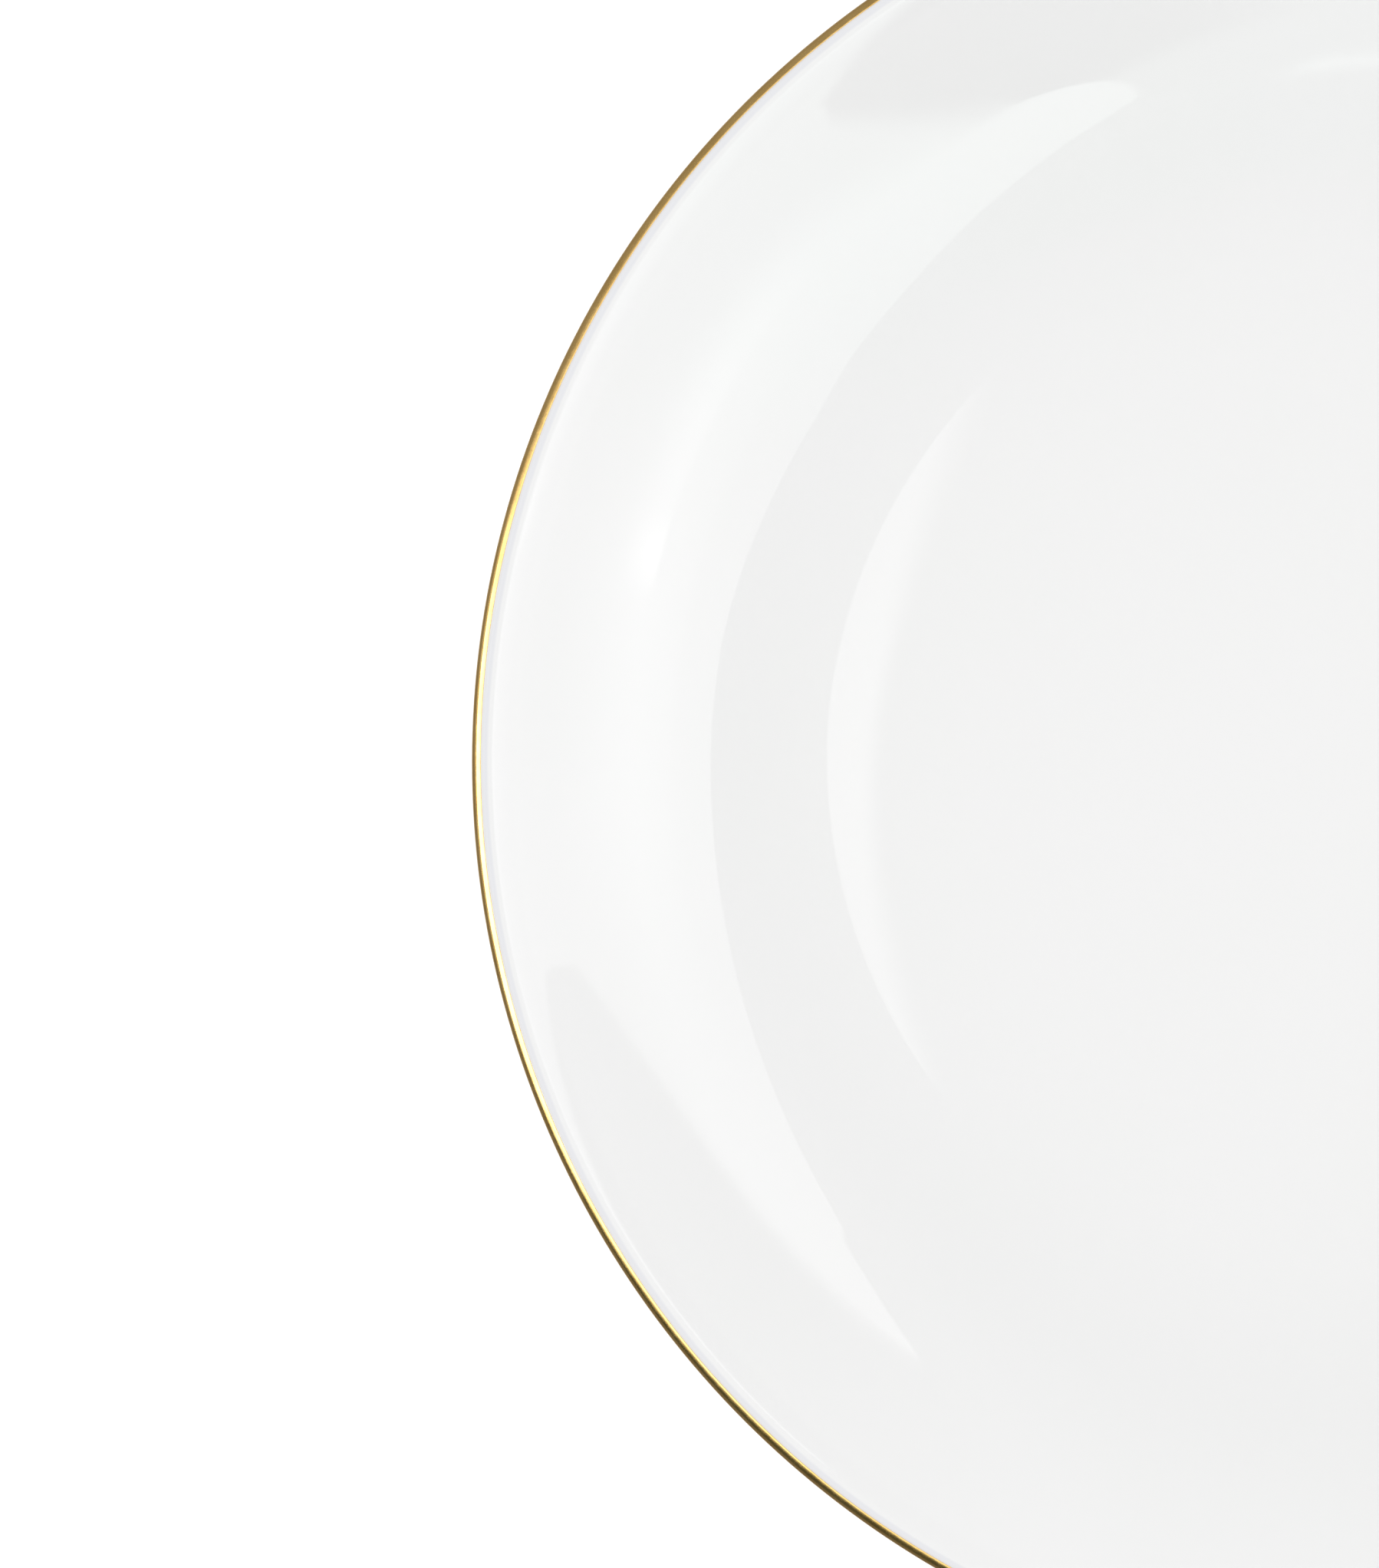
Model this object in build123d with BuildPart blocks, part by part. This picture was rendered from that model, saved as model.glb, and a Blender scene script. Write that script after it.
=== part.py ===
"""A round, shallow porcelain serving bowl with a gold line on its lip, in millimetres, +Z up.

The origin is on the table, under the centre of the bowl. Every piece is turned about Z, so each one is a
section drawn on the XZ plane, where X is the radius, and revolved. The section of the clay is drawn first.
The glaze is what an offset adds around it, and the gold is what another offset adds around the glaze, so
each coat lies face to face on what is under it.
"""

from build123d import *

import os
from math import cos, radians, sin, tan

# Driving dimensions
RIM_RADIUS = 125.0  # to the outside of the gold line
RIM_HEIGHT = 46.0  # from the table to the top of the glazed lip
GLAZE = 0.35  # thickness of the glaze
GOLD = 0.12  # thickness of the gold line

# The inside of the clay, from the lip down to the middle of the floor. Slopes are degrees above level.
LIP_INSIDE = 1.85  # round on the inside of the lip
WALL_SLOPE = 43.0  # of the straight wall
SHOULDER_RADIUS = 70.0  # of the gentle curve under the straight wall
TURN_SLOPE = 36.0  # where that curve meets the tighter turn into the floor
TURN_RADIUS = 34.0  # of that turn
FLOOR_SLOPE = 5.0  # where the turn meets the floor
FLOOR_RADIUS = 350.0  # of the rise of the floor towards its edge
FLOOR_HEIGHT = 11.3  # from the table to the level middle of the floor

# The outside of the clay
LIP_OUTSIDE = 0.9  # round on the outside of the lip
OUTSIDE_SLOPE = 47.0  # degrees above level of the outside under the lip
WALL_THICKNESS = 3.8  # where the inside is at TURN_SLOPE
UNDERSIDE_HEIGHT = 6.6  # from the table to the underside within the foot
FOOT_RADIUS = 73.0  # outside of the foot where it stands
FOOT_WIDTH = 3.6  # across the foot where it stands
FOOT_LEAN = 11.0  # degrees that each side of the foot leans out towards its root
FOOT_ROUND = 0.7  # round along both lower edges of the foot
FOOT_FILLET = 2.6  # round in both corners at the root of the foot

BARE_HEIGHT = 1.2  # the foot has no glaze up to this height
GOLD_DROP = 1.9  # the gold comes down this far on the outside of the lip

# Worked out from them
clear = 10.0  # how far the shapes that trim a coat reach past it
crest = Vector(RIM_RADIUS - GOLD - GLAZE - LIP_OUTSIDE, RIM_HEIGHT - GLAZE)
foot_middle = FOOT_RADIUS - FOOT_WIDTH / 2
foot_top = (UNDERSIDE_HEIGHT + FLOOR_HEIGHT) / 2  # its section is drawn this far up, into the base
foot_top_width = FOOT_WIDTH + 2 * foot_top * tan(radians(FOOT_LEAN))
foot_reach = (foot_middle - FOOT_WIDTH, foot_middle + FOOT_WIDTH)  # radii either side of its four corners


def fall(radius, steeper, gentler):
    """How far an arc comes down between two slopes."""
    return radius * (cos(radians(gentler)) - cos(radians(steeper)))


curves_fall = (
    fall(LIP_INSIDE, WALL_SLOPE, 0)
    + fall(SHOULDER_RADIUS, WALL_SLOPE, TURN_SLOPE)
    + fall(TURN_RADIUS, TURN_SLOPE, FLOOR_SLOPE)
    + fall(FLOOR_RADIUS, FLOOR_SLOPE, 0)
)
wall_length = (crest.Y - FLOOR_HEIGHT - curves_fall) / sin(radians(WALL_SLOPE))

# Section of the clay, body and foot together: from the top of the lip down the inside to the axis, and from
# there along the underside and up the outside
with BuildSketch(Plane.XZ) as clay:
    with BuildLine():
        lip_inside = JernArc(crest, (-1, 0), LIP_INSIDE, WALL_SLOPE)
        inside_wall = PolarLine(lip_inside @ 1, wall_length, direction=lip_inside % 1)
        shoulder = JernArc(inside_wall @ 1, inside_wall % 1, SHOULDER_RADIUS, TURN_SLOPE - WALL_SLOPE)
        turn = JernArc(shoulder @ 1, shoulder % 1, TURN_RADIUS, FLOOR_SLOPE - TURN_SLOPE)
        floor_rise = JernArc(turn @ 1, turn % 1, FLOOR_RADIUS, -FLOOR_SLOPE)
        floor = Line(floor_rise @ 1, (0, FLOOR_HEIGHT))

        lip_outside = JernArc(crest, (1, 0), LIP_OUTSIDE, OUTSIDE_SLOPE - 180)
        out_of_the_wall = (shoulder % 1).rotate(Axis.Z, 90)
        belly_start = (shoulder @ 1) + out_of_the_wall * WALL_THICKNESS
        outside_wall = TangentArc(lip_outside @ 1, belly_start, tangent=lip_outside % 1)
        belly = TangentArc(belly_start, (foot_middle, UNDERSIDE_HEIGHT), tangent=outside_wall % 1)
        Polyline(belly @ 1, (0, UNDERSIDE_HEIGHT), floor @ 1)
    make_face()
    with Locations((foot_middle, 0)):
        Trapezoid(foot_top_width, foot_top, 90 + FOOT_LEAN, align=(Align.CENTER, Align.MIN))
    foot_corners = clay.vertices().filter_by_position(Axis.X, *foot_reach)
    land_corners = foot_corners.group_by(Axis.Y)[0]
    root_corners = foot_corners - land_corners
    fillet(land_corners, FOOT_ROUND)
    fillet(root_corners, FOOT_FILLET)

# The clay with its glaze on
with BuildSketch(Plane.XZ) as glazed:
    add(clay.sketch_local)
    offset(amount=GLAZE)

# The glaze alone: none past the axis, and none on the lowest part of the foot
with BuildSketch(Plane.XZ) as glaze:
    add(glazed.sketch_local)
    add(clay.sketch_local, mode=Mode.SUBTRACT)
    Rectangle(clear, RIM_HEIGHT, align=(Align.MAX, Align.MIN), mode=Mode.SUBTRACT)
    with Locations((0, BARE_HEIGHT)):
        Rectangle(RIM_RADIUS, clear, align=(Align.MIN, Align.MAX), mode=Mode.SUBTRACT)

# What lies over the inside of the bowl, out to the top of the lip
with BuildSketch(Plane.XZ) as bowl_space:
    with BuildLine():
        add([lip_inside, inside_wall, shoulder, turn, floor_rise, floor])
        Polyline(floor @ 1, (0, crest.Y + clear), crest + Vector(0, clear), crest)
    make_face()

# What lies under the base, out to the middle of the foot
with BuildSketch(Plane.XZ) as foot_space:
    Rectangle(foot_middle, UNDERSIDE_HEIGHT, align=Align.MIN)

with BuildPart() as porcelain_body:
    with BuildSketch(Plane.XZ):
        add(clay.sketch_local)
        Rectangle(RIM_RADIUS, UNDERSIDE_HEIGHT, align=Align.MIN, mode=Mode.SUBTRACT)
    revolve(axis=Axis.Z)

# The foot is a ring of its own, luted to the underside
with BuildPart() as foot_ring:
    with BuildSketch(Plane.XZ):
        add(clay.sketch_local)
        Rectangle(RIM_RADIUS, UNDERSIDE_HEIGHT, align=Align.MIN, mode=Mode.INTERSECT)
    revolve(axis=Axis.Z)

with BuildPart() as inside_glaze:
    with BuildSketch(Plane.XZ):
        add(glaze.sketch_local)
        add(bowl_space.sketch_local, mode=Mode.INTERSECT)
    revolve(axis=Axis.Z)

with BuildPart() as outside_glaze:
    with BuildSketch(Plane.XZ):
        add(glaze.sketch_local)
        add(bowl_space.sketch_local, mode=Mode.SUBTRACT)
        add(foot_space.sketch_local, mode=Mode.SUBTRACT)
    revolve(axis=Axis.Z)

with BuildPart() as base_glaze:
    with BuildSketch(Plane.XZ):
        add(glaze.sketch_local)
        add(foot_space.sketch_local, mode=Mode.INTERSECT)
    revolve(axis=Axis.Z)

# The gold runs from the top of the lip out and down
with BuildPart() as gold_rim_band:
    with BuildSketch(Plane.XZ):
        add(glazed.sketch_local)
        offset(amount=GOLD)
        add(glazed.sketch_local, mode=Mode.SUBTRACT)
        with Locations((crest.X, RIM_HEIGHT - GOLD_DROP)):
            Rectangle(clear, clear, align=Align.MIN, mode=Mode.INTERSECT)
    revolve(axis=Axis.Z)

os.makedirs("parts", exist_ok=True)
porcelain_body.part.label = "porcelain_body"
foot_ring.part.label = "foot_ring"
inside_glaze.part.label = "inside_glaze"
outside_glaze.part.label = "outside_glaze"
base_glaze.part.label = "base_glaze"
gold_rim_band.part.label = "gold_rim_band"
export_step(porcelain_body.part, "parts/porcelain_body.step")
export_step(foot_ring.part, "parts/foot_ring.step")
export_step(inside_glaze.part, "parts/inside_glaze.step")
export_step(outside_glaze.part, "parts/outside_glaze.step")
export_step(base_glaze.part, "parts/base_glaze.step")
export_step(gold_rim_band.part, "parts/gold_rim_band.step")
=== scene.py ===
"""The looks of a shallow porcelain serving bowl with a gold line on its lip, in metres, +Z up.

Each coat is drawn as a section, points of (radius, height), and turned about Z. The radii and heights that a
section starts from come from the boxes of the CAD nodes. The studio is a pale floor and a dome. For matt
light the dome is nearly even, and for the gloss it holds a room with a few lit panels, worked out from the
direction of a ray alone.
"""

from collections import namedtuple
from math import acos, atan2, ceil, cos, degrees, pi, radians, sin, sqrt, tan

import bpy
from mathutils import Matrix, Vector


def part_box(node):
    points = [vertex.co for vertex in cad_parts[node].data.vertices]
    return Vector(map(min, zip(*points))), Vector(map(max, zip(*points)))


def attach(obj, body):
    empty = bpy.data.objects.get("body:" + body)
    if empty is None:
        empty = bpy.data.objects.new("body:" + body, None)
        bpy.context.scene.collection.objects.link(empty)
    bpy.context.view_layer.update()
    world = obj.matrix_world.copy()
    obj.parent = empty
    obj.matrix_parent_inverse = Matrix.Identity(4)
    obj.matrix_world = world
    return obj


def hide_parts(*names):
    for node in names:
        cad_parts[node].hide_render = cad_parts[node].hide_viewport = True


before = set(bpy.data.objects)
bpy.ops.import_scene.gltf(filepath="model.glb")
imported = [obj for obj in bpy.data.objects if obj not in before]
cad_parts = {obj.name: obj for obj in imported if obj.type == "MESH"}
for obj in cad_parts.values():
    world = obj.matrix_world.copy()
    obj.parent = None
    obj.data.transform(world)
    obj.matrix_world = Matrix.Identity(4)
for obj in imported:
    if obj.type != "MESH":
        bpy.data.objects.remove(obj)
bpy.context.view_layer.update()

MM = 0.001
TURNS = 384  # divisions of every piece around Z
LONGEST = 1.5 * MM  # the longest step along a section, unless it says otherwise
FINEST = 0.001 * MM  # nearer than this to the axis or to the end of a coat is on it
BACK_STEP = 3  # the hidden back of a coat keeps one point in so many
SHARP = 35  # degrees between two faces that make a sharp edge
LEFT, RIGHT = 90, -90  # degrees from the way a section is heading

# Places, from the boxes of the CAD nodes
rim_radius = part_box("gold_rim_band")[1].x
gold_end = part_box("gold_rim_band")[0].z
glazed_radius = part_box("outside_glaze")[1].x
rim_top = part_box("outside_glaze")[1].z
bare_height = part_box("outside_glaze")[0].z
clay_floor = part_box("inside_glaze")[0].z
clay_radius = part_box("porcelain_body")[1].x
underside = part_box("porcelain_body")[0].z
glaze = glazed_radius - clay_radius
gold = rim_radius - glazed_radius

# The inside of the clay, from the lip down. Slopes are degrees above level.
LIP_INSIDE = 1.85 * MM  # round on the inside of the lip
WALL_TOP_SLOPE = 43.27  # of the wall under the lip
WALL_STEP = 0.3 * MM  # between the points of its straight top
WALL_CURVE = 1080 * MM  # below its straight top the wall curves this gently
WALL_SLOPE = 42.3  # down to this slope
EASE_RADIUS = 380 * MM  # the shoulder starts gently
EASE_SLOPE = 41.2  # down to this slope
SHOULDER_RADIUS = 80 * MM  # of the rest of it
TURN_SLOPE = 36.0  # where the shoulder meets the turn into the floor
TURN_RADIUS = 34 * MM
FLOOR_SLOPE = 5.0  # where the turn meets the floor
FLOOR_RADIUS = 350 * MM  # of the rise of the floor towards its edge
FLOOR_STEP = 3 * MM  # between points on the level middle, inside and underneath

# The outside of the clay
LIP_OUTSIDE = 0.9 * MM  # round on the outside of the lip
OUTSIDE_SLOPE = 47.0  # under the lip
WALL_THICKNESS = 3.8 * MM  # where the inside is at TURN_SLOPE
ROOT_SLOPE = 6.5  # from the corner at the root of the foot up to where the belly ends
FOOT_RADIUS = 73.0 * MM  # outside of the foot where it stands
FOOT_WIDTH = 3.6 * MM
FOOT_LEAN = 11.0  # degrees that each side of the foot leans out towards its root
FOOT_ROUND = 0.7 * MM  # round along both lower edges of the foot
FOOT_FILLET = 2.6 * MM  # round in both corners at the root of the foot
FOOT_STEP = 0.3 * MM  # between points across the bare edge it stands on
crest_radius = rim_radius - gold - glaze - LIP_OUTSIDE
foot_middle = FOOT_RADIUS - FOOT_WIDTH / 2
root_width = FOOT_WIDTH + 2 * underside * tan(radians(FOOT_LEAN))

# Edges of the coats. The beads are the lengths over which a coat thins out at its start and its end.
GLAZE_BEADS = (0, 0.5 * MM)  # where the glaze stops on the foot
GLAZE_BEAD_STEPS = 8  # along such a bead
GOLD_BEADS = (0.02 * MM, 0.06 * MM)
GOLD_STEPS = (6, 30, 6)  # along the first bead, the gold between the beads and the last bead
GOLD_START = 0.115 * MM  # how far outwards of the top of the lip the gold starts
GOLD_DRIFT = 0.085 * MM  # more on one side of the bowl and less on the other
GOLD_DRIFTS_TO = 1.9  # where it starts furthest out, in radians around Z
GOLD_WAVER = 0.03 * MM  # how far the brush strayed at the inner edge of the gold
GOLD_WAVER_BELOW = 0.11 * MM  # and at its lower edge
# Waves around the edges of the gold: how many, where they start in radians, and their share
INNER_WAVES = ((5, 1.2, 1.0), (11, 0, 0.6), (23, 2, 0.5))
LOWER_WAVES = ((4, 0, 1.0), (9, 0.6, 0.7), (17, 4, 0.5))

# Finishes, in linear light. Patches come from a noise: how fine it is, its detail, and the two of its values
# between which a patch sets in.
GLAZE_WHITE = (0.90, 0.90, 0.898, 1)
GLAZE_WHITE_CLOUD = (0.896, 0.898, 0.893, 1)
GLAZE_CLOUDS = (30, 2, 0.3, 0.7)
# Painted shade near the lip: a slightly darker white
GLAZE_SHADED_NEAR_LIP = (0.888, 0.888, 0.886, 1)
# Painted shade on the lip: a cool grey
GLAZE_SHADED_LIP = (0.80, 0.805, 0.83, 1)
SHADE_NEAR_LIP = (3.6 * MM, 2.2 * MM)  # painted shade: the white is a little darker between these depths under the top of the lip
SHADE_ON_LIP = (0.22 * MM, 0.07 * MM)  # and turns to a painted cool grey shade between these, on the lip itself
GLAZE_ROUGHNESS = 0.012
GLAZE_IOR = 1.5
GLAZE_WAVES = 0.0008 * MM  # height of its long waves
GLAZE_PEEL = 0.00008 * MM  # and of its fine ones
GOLD_COLOUR = (0.86, 0.57, 0.21, 1)
GOLD_COLOUR_WORN = (0.80, 0.51, 0.17, 1)
GOLD_WEAR = (260, 3, 0.35, 0.7)
GOLD_BURNISH = (1400, 3, 0.2, 0.8)
GOLD_ROUGHNESS = (0.1, 0.22)  # where it is burnished most and least
GOLD_STREAKS = 0.004 * MM  # height of the streaks of the brush
CLAY_COLOUR = (0.80, 0.77, 0.70, 1)
CLAY_COLOUR_STAINED = (0.70, 0.65, 0.56, 1)
CLAY_STAINS = (90, 3, 0.45, 0.75)
CLAY_SPECK = (0.42, 0.35, 0.27, 1)
CLAY_SPECKS = (1800, 2, 0.68, 0.74)
CLAY_SPECK_SHARE = 0.35  # of its colour in a speck
CLAY_GRAIN = 0.03 * MM  # height of the grain
CLAY_ROUGHNESS = 0.75

# The dome and the floor
DOME = 0.972  # the brightness of the dome for matt light
DOME_LOW = 0.15  # how much brighter that is at the horizon
DOME_SEEN = 1.2  # its brightness as the camera sees it
GLOSS_TINT = (0.9, 1.0, 0.95, 1)  # of what the gloss mirrors in the south
GLOSS_TINT_STEP = (-0.3, -0.6)  # it sets in between these, north
LEAST_UP = 0.001  # a direction at or below the horizon counts as this far up
FLOOR_HALF = 30  # half its side, in metres
FLOOR_MATT = 0.75  # how much matt light it gives back to the bowl
FLOOR_SEEN_MATT = 0.45  # and to the camera
FLOOR_GLOW = 0.75  # the light of its own that only the camera sees
TABLE_FROM = (1.1, 1.5)  # the gloss meets a dim table, not white floor, past these, in rim radii
TABLE_LEVEL = (0.2, 0.34)  # the brightness of the table, south and north of the bowl
TABLE_STEP = 0.14  # which changes this far to each side of the bowl's middle, in metres

# The room that the gloss mirrors. Across and along are how far east and north a direction meets a ceiling
# that is 1 above the bowl. East, north and up are shares of the direction itself. The first two numbers of a
# change are where it starts and where it is full, and any further two are what it changes from and to.

# The big panel to the east
NEAR_EDGE_NORTH = (3.0, 0.25, 0.078)  # its near edge in the north, across: a level, a slope and a bend
NEAR_CORNER = (6.95, -0.63)  # beyond a corner the edge comes back: a level and a slope
NEAR_EDGE_SOUTH = (2.46, 0.2)  # its near edge in the south, which is nearer: a level and a slope
NEAR_EDGE_STEP = (-1.1, -0.35)  # the two join between these, along
NEAR_DENT = (-0.95, 0.45, 0.25)  # a dent beside that: where, its reach and its depth
NEAR_ROUND = (-2.5, 1.6, 1.55)  # and the round to the south edge: where it starts, its length and its depth
NEAR_ROUND_POWER = 5  # the higher, the later in its length it bends
SOUTH_EDGE = -3.87  # its south edge, along
SOUTH_LEAN = 0.07  # which moves south by this much of the distance across
SOUTH_END = 4.78  # and ends here, across
NORTH_EDGE = 4.27  # its north edge, along
NORTH_BEND_START = 3.9  # which bends south past here, across
NORTH_BEND = 0.0735  # more and more
NORTH_BEND_END = 2.0  # as far as here, along
EDGE_BLUR = 0.04  # to each side of an edge
SOUTH_END_BLUR = 0.06
MIDDLE_LEVEL = 2.5  # its brightness in the middle
SOUTH_LEVEL = 1.58
SOUTH_STEP = (-0.6, -0.12)  # from the south to the middle between these, north
NORTH_LEVEL = 2.0
NORTH_STEP = (0, 0.35)  # and from the middle to the north between these

# Its hot line: a slightly bent line across the panel at this height, lower towards the east
HOT_LINE_UP = 0.3475
HOT_LINE_LEAN = 0.245
HOT_LINE_BEND = 0.026
HOT_LINE_MIDDLE = -0.12  # the bend's middle, north

# The hot place on it: where the middle of each part is, and how far it reaches
HOT_NARROW = (-0.225, 0.06)  # north
HOT_WIDE = (-0.35, 0.3)  # north
HOT_WIDE_SHARE = 0.6  # of the wide part of the hot place, next to its narrow part
HOT_ABOVE = (0.0045, 0.004)  # above the line

# How the panel changes below and above the line, in heights above it
DIMMER_BELOW = (0.002, -0.005, 0, 0.65)
DIMMER_FAR_ABOVE = (0.01, 0.06, 0, 0.35)
DIMMER_NORTH = (-0.12, 0.6)  # the middle and the reach of both, north
BRIGHTER_ABOVE = (-0.0005, 0.006)
BRIGHTER_NORTH = (-0.3, -0.55, 0.5, 0.85)  # by how much, north

# The room around the panel
ROOM_UP = (0.13, 0.19, 1.0, 1.4)  # it is dimmer at the horizon, up
ROOM_DARK = (-3.0, -3.3, 0, 0.2)  # the share of that which is missing in the south, along
ROOM_DARKER = (-3.7, -3.95, 0, 0.7)  # and the share further south
ROOM_DARK_UP = (0.33, 0.17)  # both only low down, up

# The lights overhead
SMALL_LIGHT_AT = (0.2045, -0.001)  # across, along
SMALL_LIGHT_REACH = (0.03, 0.047)  # across, along
SMALL_LIGHT = (1.1, 0.6, 0, 1.3)  # from its edge inwards, in shares of its reach
BROAD_LIGHT = (-2.95, 0.5)  # its middle and its reach, along
BROAD_LIGHT_END = (0.95, 0.75)  # it fades out towards the east between these, across

# The west of the room
WEST_STEP = (-0.05, -0.15)  # it takes over between these, east
WEST_NORTH = (-0.7, 0.3, 0.1, 0.38)  # it brightens towards the north
WEST_UP = (0.8, 0.98, 0, 0.4)  # and is brighter overhead, up
TALL_LIGHT_ALONG = -0.165  # the middle of the tall light, along
TALL_LIGHT_SPREAD = 0.27  # it widens by this much of its distance to the west
TALL_LIGHT_EDGE = (0.4, -0.1)  # along, to each side of its middle
TALL_LIGHT_END = (2.45, 1.95)  # its far end, across to the west
TALL_LIGHT = 3.9
TALL_LIGHT_FAINT = (0.8, 0.4, 0, 0.3)  # its faint edge, along, to each side of its middle

# The camera
LENS = 100  # millimetres
SENSOR = 36  # millimetres
FRAME_HEIGHT = 1.681  # of the picture at the rim, in rim radii
VIEW_AT = (-0.7666, -0.0235)  # what the camera is over, in rim radii
CLIP = (0.01, 100)  # it sees what is between these, in metres


class Walk:
    """A section drawn by walking, as points of (radius, height). Headings are degrees left of outwards."""

    def __init__(self, start, heading):
        self.points = [Vector(start)]
        self.headings = [heading]

    @property
    def at(self):
        return self.points[-1]

    @property
    def heading(self):
        return self.headings[-1]

    def step(self, length, turn):
        """One straight step, or one chord of an arc that turns by that many degrees."""
        self.points.append(self.at + way(self.heading + turn / 2) * length)
        self.headings.append(self.heading + turn)

    def straight(self, length, longest=LONGEST):
        steps = max(1, ceil(length / longest))
        for _ in range(steps):
            self.step(length / steps, 0)

    def chords(self, radius, turn, steps):
        """An arc to the left by turn degrees, or to the right if it is below 0, in so many steps."""
        for _ in range(steps):
            self.step(2 * radius * sin(radians(abs(turn) / steps) / 2), turn / steps)

    def arc(self, radius, turn, finest=1.0):
        """The same, in steps that turn by finest degrees at most, and are no longer than the longest."""
        steps = max(ceil(abs(turn) / finest), ceil(radius * radians(abs(turn)) / LONGEST))
        self.chords(radius, turn, steps)

    def arc_to(self, end):
        """The arc from here to a point that sets out the way the walk is heading."""
        chord = end - self.at
        turn = 2 * ((degrees(atan2(chord.y, chord.x)) - self.heading + 180) % 360 - 180)
        self.arc(chord.length / (2 * sin(radians(abs(turn)) / 2)), turn)


def way(heading):
    """A step of length 1."""
    return Vector((cos(radians(heading)), sin(radians(heading))))


def fall(radius, steeper, gentler):
    """How far an arc comes down between two slopes."""
    return radius * (cos(radians(gentler)) - cos(radians(steeper)))


def inside_line():
    """The inside of the clay from the top of the lip to the axis, and where its shoulder meets its turn."""
    curves = (  # each one's radius, the slopes it starts and ends at, and the degrees that a step turns
        (WALL_CURVE, WALL_TOP_SLOPE, WALL_SLOPE, 0.05),
        (EASE_RADIUS, WALL_SLOPE, EASE_SLOPE, 0.1),
        (SHOULDER_RADIUS, EASE_SLOPE, TURN_SLOPE, 0.4),
        (TURN_RADIUS, TURN_SLOPE, FLOOR_SLOPE, 0.75),
        (FLOOR_RADIUS, FLOOR_SLOPE, 0, 0.25),
    )
    curves_fall = sum(fall(radius, steeper, gentler) for radius, steeper, gentler, _ in curves)
    line = Walk((crest_radius, rim_top - glaze), 180)
    line.arc(LIP_INSIDE, WALL_TOP_SLOPE)
    line.straight((line.at.y - clay_floor - curves_fall) / sin(radians(WALL_TOP_SLOPE)), WALL_STEP)
    end_at = {}
    for radius, steeper, gentler, finest in curves:
        line.arc(radius, gentler - steeper, finest)
        end_at[gentler] = line.at
    line.straight(line.at.x, FLOOR_STEP)
    return line, end_at[TURN_SLOPE]


def outside_line(shoulder_end):
    """The outside of the clay from the top of the lip down to where the glaze stops on the foot."""
    line = Walk((crest_radius, rim_top - glaze), 0)
    line.arc(LIP_OUTSIDE, OUTSIDE_SLOPE - 180, finest=4)
    line.arc_to(shoulder_end + way(TURN_SLOPE + RIGHT) * WALL_THICKNESS)
    down = FOOT_LEAN + 90
    corner = Vector((foot_middle + root_width / 2, underside))
    reach = FOOT_FILLET * tan(radians(180 - down - ROOT_SLOPE) / 2)
    line.arc_to(corner + way(ROOT_SLOPE) * reach)
    line.arc(FOOT_FILLET, (-down - line.heading) % 360, finest=4)
    stop_on_foot(line)
    return line


def base_line():
    """The underside of the clay from the axis out to where the glaze stops on the inside of the foot."""
    line = Walk((0, underside), 0)
    turn = 90 - FOOT_LEAN
    line.straight(foot_middle - root_width / 2 - FOOT_FILLET * tan(radians(turn) / 2), FLOOR_STEP)
    line.arc(FOOT_FILLET, -turn, finest=4)
    stop_on_foot(line)
    return line


def stop_on_foot(line):
    """Straight down the foot, with short steps where the glaze thins out."""
    bead = GLAZE_BEADS[1]
    line.straight((line.at.y - bare_height) / cos(radians(FOOT_LEAN)) - bead)
    line.straight(bead, bead / GLAZE_BEAD_STEPS)


def foot_loop():
    """The closed section of the foot."""
    turn = 90 - FOOT_LEAN
    line = Walk((foot_middle - root_width / 2, underside), -turn)
    reach = FOOT_ROUND * tan(radians(turn) / 2)
    side = underside / cos(radians(FOOT_LEAN)) - reach
    line.straight(side)
    line.arc(FOOT_ROUND, turn, finest=8)
    line.straight(FOOT_WIDTH - 2 * reach, FOOT_STEP)
    line.arc(FOOT_ROUND, turn, finest=8)
    line.straight(side)
    return line.points


def waver(angle, waves):
    """How far a brushed edge is off at one angle: about 1 at most, to either side."""
    return sum(share * sin(count * angle + start) for count, start, share in waves) / 2


def gold_line_at(angle):
    """The line of the glaze that the gold covers at one angle."""
    inner = GOLD_START + GOLD_DRIFT * cos(angle - GOLD_DRIFTS_TO) + GOLD_WAVER * waver(angle, INNER_WAVES)
    lower = abs(GOLD_WAVER_BELOW * waver(angle, LOWER_WAVES))
    radius = LIP_OUTSIDE + glaze
    first = degrees(inner / radius)
    last = degrees(acos(1 - (rim_top - gold_end) / radius) - lower / radius)
    line = Walk(Vector((crest_radius, rim_top - radius)) + way(90 - first) * radius, -first)
    start_bead, end_bead = [degrees(bead / radius) for bead in GOLD_BEADS]
    turns = (start_bead, last - first - start_bead - end_bead, end_bead)
    for turn, steps in zip(turns, GOLD_STEPS):
        line.chords(radius, -turn, steps)
    return line


def coat(line, thickness, side, beads=(0, 0)):
    """A coat's closed section. Its back is the line and its face is to one side of that. It thins out at its
    start and its end over the lengths of the beads."""
    along = [0]
    for before, after in zip(line.points, line.points[1:]):
        along.append(along[-1] + (after - before).length)
    face = []
    for point, heading, length in zip(line.points, line.headings, along):
        share = rounded(length, beads[0]) * rounded(along[-1] - length, beads[1])
        if share > 0:
            face.append(point + way(heading + side) * thickness * share)
    return line.points[:-1:BACK_STEP] + line.points[-1:] + face[::-1]


def gold_coat_at(angle):
    """The closed section of the gold at one angle."""
    return coat(gold_line_at(angle), gold, LEFT, GOLD_BEADS)


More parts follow.
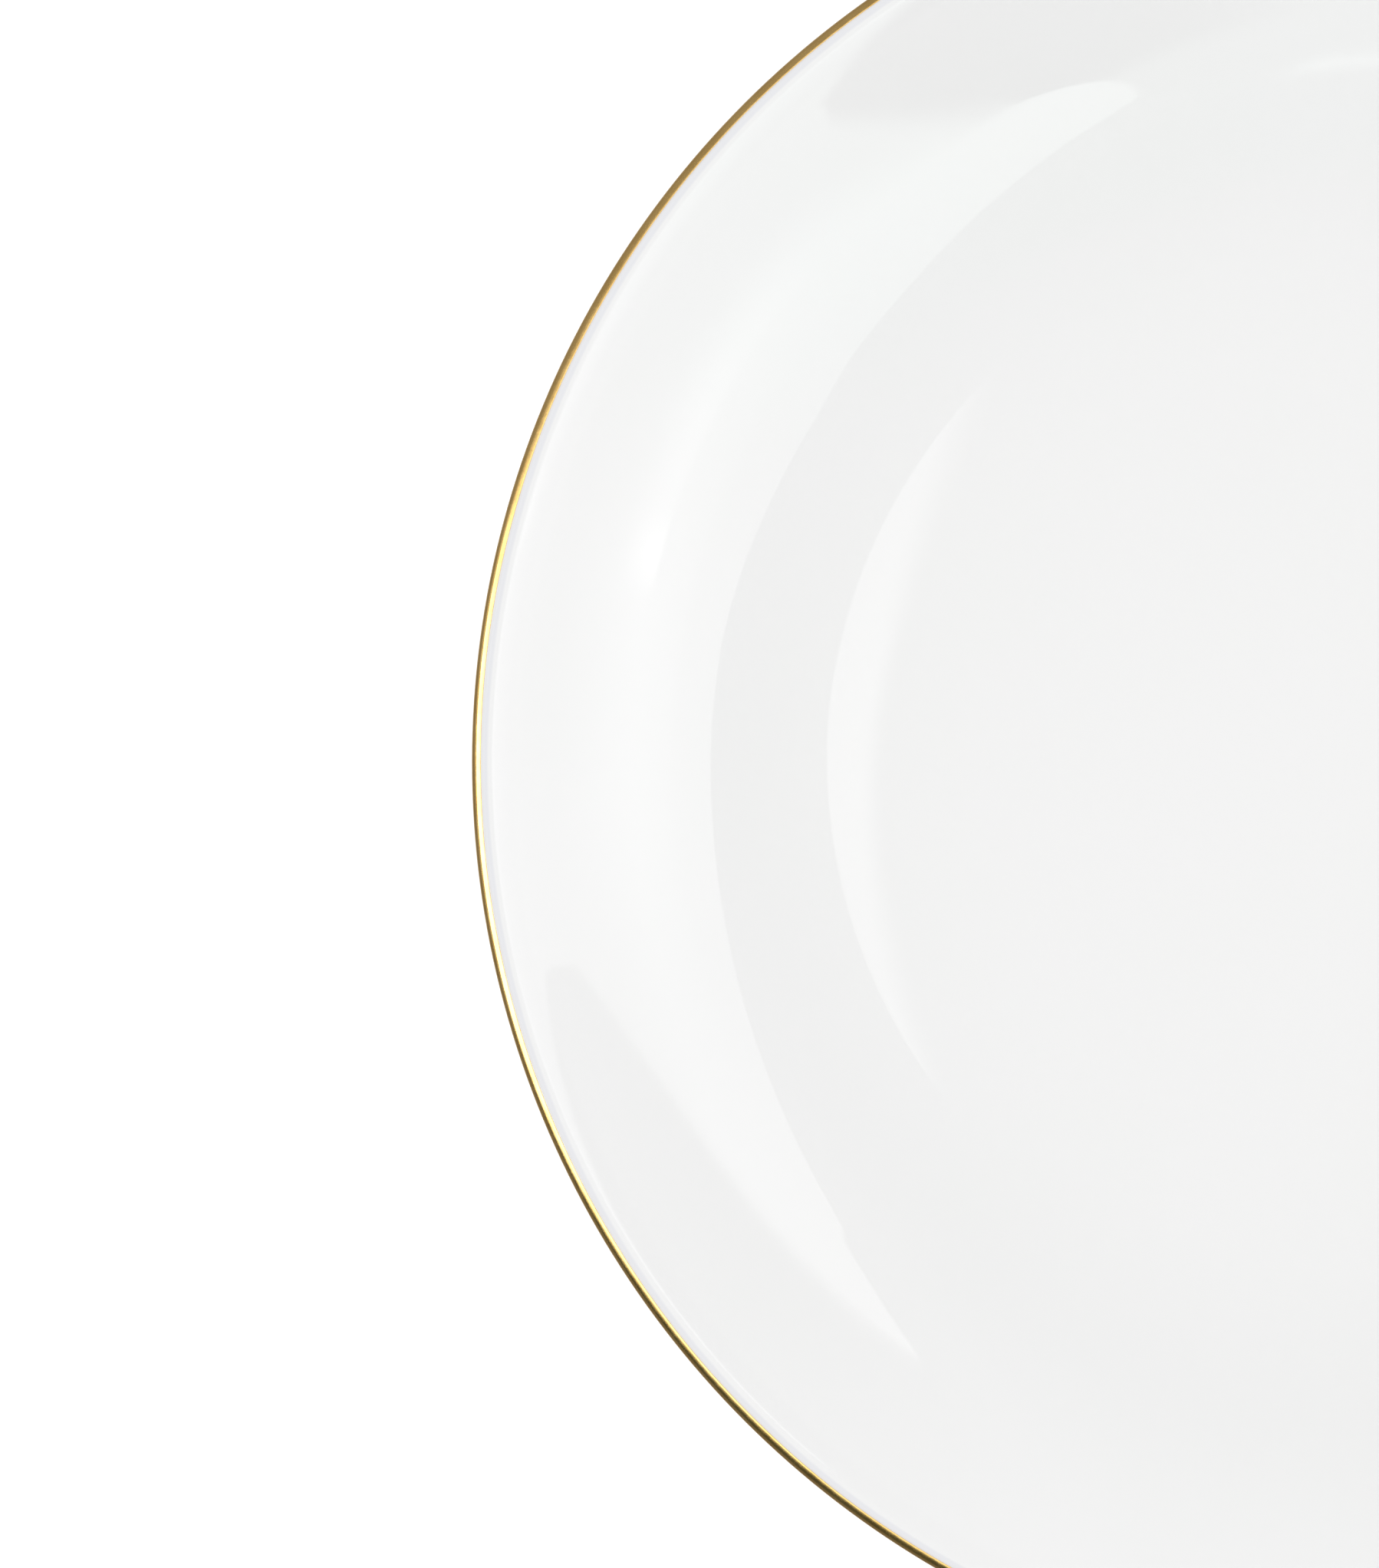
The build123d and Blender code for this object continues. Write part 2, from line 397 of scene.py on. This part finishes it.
def rounded(distance, bead):
    """The share of its thickness that a coat has at a distance from its end."""
    if distance >= bead:
        return 1
    return sqrt(max(0, 1 - (1 - distance / bead) ** 2)) if distance > FINEST else 0


def clockwise(loop):
    """Whether a closed section goes round clockwise."""
    return sum(a.x * b.y - b.x * a.y for a, b in zip(loop, loop[1:] + loop[:1])) < 0


def turned(name, loop_at):
    """A closed mesh: a closed section turned about Z. The section may differ a little at each angle."""
    angles = [2 * pi * turn / TURNS for turn in range(TURNS)]
    loops = [loop_at(angle) for angle in angles]
    if clockwise(loops[0]):
        loops = [loop[::-1] for loop in loops]
    vertices, rings = [], []
    for index, first in enumerate(loops[0]):
        count = 1 if first.x < FINEST else TURNS
        ring = range(len(vertices), len(vertices) + count)
        for loop, angle in zip(loops[:count], angles):
            radius, height = loop[index]
            vertices.append((radius * cos(angle), radius * sin(angle), height))
        rings.append([*ring] * (TURNS // count))
    faces = []
    for ring, further in zip(rings, rings[1:] + rings[:1]):
        for turn in range(TURNS):
            after = (turn + 1) % TURNS
            corners = [ring[turn], ring[after], further[after], further[turn]]
            corners = [corner for i, corner in enumerate(corners) if corner != corners[i - 1]]
            if len(corners) > 2:
                faces.append(corners)
    mesh = bpy.data.meshes.new(name)
    mesh.from_pydata(vertices, [], faces)
    mesh.shade_smooth()
    mesh.set_sharp_from_angle(angle=radians(SHARP))
    return placed(name, mesh)


def placed(name, data):
    """A new object in the scene."""
    made = bpy.data.objects.new(name, data)
    bpy.context.scene.collection.objects.link(made)
    return made


class Value:
    """What a shader node gives to others. Sums and products with it are nodes as well."""

    def __init__(self, socket):
        self.socket = socket
        self.tree = socket.id_data

    def __add__(self, other):
        return maths("ADD", self, other)

    def __sub__(self, other):
        return maths("SUBTRACT", self, other)

    def __rsub__(self, other):
        return maths("SUBTRACT", other, self)

    def __mul__(self, other):
        return maths("MULTIPLY", self, other)

    def __truediv__(self, other):
        return maths("DIVIDE", self, other)

    def __abs__(self):
        return maths("ABSOLUTE", self)

    __radd__ = __add__
    __rmul__ = __mul__


def node(tree, kind, inputs=(), **settings):
    """A shader node with its inputs and settings."""
    made = tree.nodes.new("ShaderNode" + kind)
    for name, value in settings.items():
        setattr(made, name, value)
    set_inputs(made, inputs)
    return made


def set_inputs(made, inputs):
    """Inputs of a node, by their name or number: each is a plain value or what another node gives."""
    for name, value in dict(inputs).items():
        if isinstance(value, Value):
            value.tree.links.new(value.socket, made.inputs[name])
        else:
            made.inputs[name].default_value = value


def given(tree, kind, output, inputs=(), **settings):
    """What a new node gives at one of its outputs."""
    return Value(node(tree, kind, inputs, **settings).outputs[output])


def maths(operation, *values):
    tree = next(value.tree for value in values if isinstance(value, Value))
    return given(tree, "Math", 0, enumerate(values), operation=operation)


def rise(value, low, high, bottom=0, top=1, shape="SMOOTHSTEP"):
    """From bottom to top, smoothly unless the shape is LINEAR, as a value goes from low to high."""
    inputs = {"Value": value, "From Min": low, "From Max": high, "To Min": bottom, "To Max": top}
    return given(value.tree, "MapRange", "Result", inputs, interpolation_type=shape)


def bump_of(value, centre, reach):
    """1 at the centre, falling smoothly to 0 at its reach on both sides."""
    return rise(abs(value - centre), reach, 0)


def blend(share, first, second):
    """Two numbers mixed."""
    return share * (second - first) + first


def mix(share, first, second):
    """Two colours mixed. This node has its colours at inputs 6 and 7, and gives a colour at output 2."""
    return given(share.tree, "Mix", 2, {0: share, 6: first, 7: second}, data_type="RGBA")


def noise(place, scale, detail=2, roughness=0.5):
    inputs = {"Vector": place, "Scale": scale, "Detail": detail, "Roughness": roughness}
    return given(place.tree, "TexNoise", "Fac", inputs)


def patches(place, fineness, detail, low, high, bottom=0, top=1):
    """From bottom to top as a noise goes from low to high."""
    return rise(noise(place, fineness, detail), low, high, bottom, top)


def raised(height):
    """Which way the surface faces when it is raised by a height in metres."""
    return given(height.tree, "Bump", 0, {"Height": height, "Distance": 1.0})


def mixed_shader(share, first, second):
    return given(share.tree, "MixShader", 0, {0: share, 1: first, 2: second})


def light(tree, kind, level, colour=(1, 1, 1, 1)):
    """A shader that gives out light: Background in a world, Emission on a surface."""
    return given(tree, kind, 0, {"Color": colour, "Strength": level})


def material(name):
    """A new material, its surface shader and a place on the object in metres."""
    made = bpy.data.materials.new(name)
    made.use_nodes = True
    return made, made.node_tree.nodes["Principled BSDF"], given(made.node_tree, "TexCoord", "Object")


def grey(level):
    return (level, level, level, 1)


def glaze_material():
    """White gloss glaze, faintly clouded, with painted shade: a little darker near the lip and a cool grey
    on the lip itself.
    """
    made, shader, place = material("white_glaze")
    height = given(place.tree, "SeparateXYZ", "Z", {0: place})
    white = mix(patches(place, *GLAZE_CLOUDS), GLAZE_WHITE, GLAZE_WHITE_CLOUD)
    # painted shade: the white is a little darker just under the top of the lip
    painted_shade_near_lip = rise(height, rim_top - SHADE_NEAR_LIP[0], rim_top - SHADE_NEAR_LIP[1])
    # painted shade: a cool grey on the lip itself
    painted_shade_on_lip = rise(height, rim_top - SHADE_ON_LIP[0], rim_top - SHADE_ON_LIP[1])
    colour = mix(painted_shade_on_lip, mix(painted_shade_near_lip, white, GLAZE_SHADED_NEAR_LIP), GLAZE_SHADED_LIP)
    waves = noise(place, scale=55, detail=1) * GLAZE_WAVES + noise(place, scale=900) * GLAZE_PEEL
    shine = {"Roughness": GLAZE_ROUGHNESS, "IOR": GLAZE_IOR}
    set_inputs(shader, {"Base Color": colour, "Normal": raised(waves), **shine})
    return made


def gold_material():
    """Burnished gold, unevenly worn and burnished, with the faint streaks of the brush."""
    made, shader, place = material("burnished_gold")
    colour = mix(patches(place, *GOLD_WEAR), GOLD_COLOUR, GOLD_COLOUR_WORN)
    rough = patches(place, *GOLD_BURNISH, *GOLD_ROUGHNESS)
    streaks = noise(place, scale=2200) * GOLD_STREAKS
    surface = {"Roughness": rough, "Normal": raised(streaks)}
    set_inputs(shader, {"Base Color": colour, "Metallic": 1.0, **surface})
    return made


def clay_material():
    """Fired clay without glaze: matt, grained, stained and specked, and a little warmer than the glaze."""
    made, shader, place = material("fired_clay")
    colour = mix(patches(place, *CLAY_STAINS), CLAY_COLOUR, CLAY_COLOUR_STAINED)
    colour = mix(patches(place, *CLAY_SPECKS) * CLAY_SPECK_SHARE, colour, CLAY_SPECK)
    grain = noise(place, scale=3500, detail=4, roughness=0.7) * CLAY_GRAIN
    set_inputs(shader, {"Base Color": colour, "Roughness": CLAY_ROUGHNESS, "Normal": raised(grain)})
    return made


def dress(piece, finish, replaced):
    """Gives a piece its material and its body, and hides the CAD node that it replaces."""
    piece.data.materials.append(finish)
    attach(piece, "root")
    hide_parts(replaced)


def build_bowl():
    """The coats and the foot, around the clay body, which stays as it is under them."""
    inside, shoulder_end = inside_line()
    outside = outside_line(shoulder_end)
    inside_coat = coat(inside, glaze, RIGHT)
    outside_coat = coat(outside, glaze, LEFT, GLAZE_BEADS)
    base_coat = coat(base_line(), glaze, RIGHT, GLAZE_BEADS)
    foot = foot_loop()
    white, shiny, clay = glaze_material(), gold_material(), clay_material()
    dress(turned("inside_glaze_coat", lambda _: inside_coat), white, "inside_glaze")
    dress(turned("outside_glaze_coat", lambda _: outside_coat), white, "outside_glaze")
    dress(turned("base_glaze_coat", lambda _: base_coat), white, "base_glaze")
    dress(turned("foot_clay", lambda _: foot), clay, "foot_ring")
    dress(turned("gold_line", gold_coat_at), shiny, "gold_rim_band")
    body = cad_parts["porcelain_body"]
    body.data.materials.clear()
    body.data.materials.append(clay)


# A direction as its shares east, north and up, and as where it meets the ceiling: across and along
Ray = namedtuple("Ray", "east north up across along")


def ray_direction(tree):
    """The direction in which a ray leaves for the dome."""
    split = node(tree, "SeparateXYZ", {0: given(tree, "TexCoord", "Generated")})
    east, north, up = [Value(output) for output in split.outputs]
    up = maths("MAXIMUM", up, LEAST_UP)
    return Ray(east, north, up, east / up, north / up)


def near_edge(along):
    """How far across the big panel starts."""
    level, slope, bend = NEAR_EDGE_NORTH
    north = level + along * slope + along * along * bend
    north = maths("MINIMUM", north, NEAR_CORNER[0] + along * NEAR_CORNER[1])
    start, length, depth = NEAR_ROUND
    past = maths("MAXIMUM", (start - along) / length, 0)
    bent = maths("POWER", past, NEAR_ROUND_POWER) * depth
    south = NEAR_EDGE_SOUTH[0] + along * NEAR_EDGE_SOUTH[1] + bent
    dent_at, dent_reach, dent_depth = NEAR_DENT
    dent = bump_of(along, dent_at, dent_reach) * dent_depth
    return blend(rise(along, *NEAR_EDGE_STEP), south, north) - dent


def panel_outline(ray):
    """1 on the big panel and 0 off it."""
    south = rise(ray.along + ray.across * SOUTH_LEAN - SOUTH_EDGE, -EDGE_BLUR, EDGE_BLUR)
    south = maths("MAXIMUM", south, rise(ray.across - SOUTH_END, -SOUTH_END_BLUR, SOUTH_END_BLUR))
    beyond = maths("MAXIMUM", ray.across - NORTH_BEND_START, 0)
    north_edge = maths("MAXIMUM", NORTH_EDGE - beyond * beyond * NORTH_BEND, NORTH_BEND_END)
    north = rise(north_edge - ray.along, -EDGE_BLUR, EDGE_BLUR)
    near = rise(ray.across - near_edge(ray.along), -EDGE_BLUR, EDGE_BLUR)
    return south * north * near


def panel_level(ray):
    """The brightness of the big panel. It has one hot place on its hot line, and is dimmer below that line
    and far above it, and brighter a little above it, most of all in the south."""
    off_middle = ray.north - HOT_LINE_MIDDLE
    above = ray.up + ray.east * HOT_LINE_LEAN - HOT_LINE_UP + off_middle * off_middle * HOT_LINE_BEND
    hot = bump_of(ray.north, *HOT_NARROW) + bump_of(ray.north, *HOT_WIDE) * HOT_WIDE_SHARE
    hot = hot * bump_of(above, *HOT_ABOVE)
    dimmer = rise(above, *DIMMER_BELOW) + rise(above, *DIMMER_FAR_ABOVE)
    dimmer = dimmer * bump_of(ray.north, *DIMMER_NORTH)
    brighter = rise(above, *BRIGHTER_ABOVE) * rise(ray.north, *BRIGHTER_NORTH)
    level = rise(ray.north, *SOUTH_STEP, SOUTH_LEVEL, MIDDLE_LEVEL)
    level = level - rise(ray.north, *NORTH_STEP, 0, MIDDLE_LEVEL - NORTH_LEVEL)
    return level + hot - dimmer + brighter


def room_level(ray):
    """The room around the big panel: dimmer at the horizon, and dark low down in the south."""
    dark = rise(ray.along, *ROOM_DARK) + rise(ray.along, *ROOM_DARKER)
    return rise(ray.up, *ROOM_UP) * (1 - dark * rise(ray.up, *ROOM_DARK_UP))


def overhead_lights(ray):
    """A small light nearly overhead, and a broad one to the south of it."""
    off_across = abs(ray.across - SMALL_LIGHT_AT[0]) / SMALL_LIGHT_REACH[0]
    off_along = abs(ray.along - SMALL_LIGHT_AT[1]) / SMALL_LIGHT_REACH[1]
    small = rise(off_across + off_along, *SMALL_LIGHT)
    return small + bump_of(ray.along, *BROAD_LIGHT) * rise(ray.across, *BROAD_LIGHT_END)


def west_level(ray):
    """The west of the room: dim, with a tall bright light that has a faint edge."""
    dim = rise(ray.north, *WEST_NORTH) + rise(ray.up, *WEST_UP)
    west = ray.across * -1
    aside = abs(ray.along - TALL_LIGHT_ALONG) - west * TALL_LIGHT_SPREAD
    tall = rise(aside, *TALL_LIGHT_EDGE) * rise(west, *TALL_LIGHT_END) * TALL_LIGHT
    return dim + tall + rise(aside, *TALL_LIGHT_FAINT)


def gloss_level(ray):
    """All that the gloss mirrors in one direction."""
    east_level = blend(panel_outline(ray), room_level(ray), panel_level(ray)) + overhead_lights(ray)
    return blend(rise(ray.east, *WEST_STEP), east_level, west_level(ray))


def sky():
    """An even dome for the camera, a nearly even one for matt light, and the room that the gloss mirrors."""
    world = bpy.data.worlds.new("studio")
    bpy.context.scene.world = world
    world.use_nodes = True
    tree = world.node_tree
    ray = ray_direction(tree)
    path = node(tree, "LightPath").outputs
    matt_level = (1 - ray.up) * (1 - ray.up) * DOME_LOW + DOME
    plain = light(tree, "Background", blend(Value(path["Is Camera Ray"]), matt_level, DOME_SEEN))
    tint = mix(rise(ray.north, *GLOSS_TINT_STEP), grey(1), GLOSS_TINT)
    mirrored = light(tree, "Background", gloss_level(ray), tint)
    both = mixed_shader(Value(path["Is Glossy Ray"]), plain, mirrored)
    set_inputs(tree.nodes["World Output"], {"Surface": both})
    world.cycles.sampling_method = "NONE"  # so that each ray that meets the dome says whether it is glossy


def floor():
    """A white floor. The camera sees it lit up, and matt light meets plain white. The gloss meets that white
    under the bowl, and a dim table beyond it."""
    mesh = bpy.data.meshes.new("studio_floor")
    half = FLOOR_HALF
    corners = [(-half, -half, 0), (half, -half, 0), (half, half, 0), (-half, half, 0)]
    mesh.from_pydata(corners, [], [range(4)])
    finish, shader, place = material("floor")
    tree = place.tree
    tree.nodes.remove(shader)
    path = node(tree, "LightPath").outputs
    white = given(tree, "BsdfDiffuse", 0, {"Color": grey(FLOOR_MATT)})
    seen = given(tree, "BsdfDiffuse", 0, {"Color": grey(FLOOR_SEEN_MATT)})
    seen = given(tree, "AddShader", 0, {0: seen, 1: light(tree, "Emission", FLOOR_GLOW)})
    north = given(tree, "SeparateXYZ", "Y", {0: place})
    table = light(tree, "Emission", rise(north, -TABLE_STEP, TABLE_STEP, *TABLE_LEVEL, shape="LINEAR"))
    distance = given(tree, "VectorMath", "Value", {0: place}, operation="LENGTH")
    white_end, table_start = [rim_radius * share for share in TABLE_FROM]
    beyond = rise(distance, white_end, table_start)
    unseen = mixed_shader(Value(path["Is Glossy Ray"]) * beyond, white, table)
    both = mixed_shader(Value(path["Is Camera Ray"]), unseen, seen)
    set_inputs(tree.nodes["Material Output"], {"Surface": both})
    mesh.materials.append(finish)
    made = placed("studio_floor", mesh)


def camera():
    """Straight down, from above the left of the bowl."""
    data = bpy.data.cameras.new("camera")
    data.sensor_fit = "VERTICAL"
    data.sensor_height = SENSOR
    data.lens = LENS
    data.clip_start, data.clip_end = CLIP
    made = placed("camera", data)
    widest = rim_top - LIP_OUTSIDE - glaze  # the height at which the rim is widest
    away = FRAME_HEIGHT * rim_radius * LENS / SENSOR
    made.location = (VIEW_AT[0] * rim_radius, VIEW_AT[1] * rim_radius, widest + away)
    bpy.context.scene.camera = made


build_bowl()
sky()
floor()
camera()
bpy.context.scene.view_settings.view_transform = "Standard"
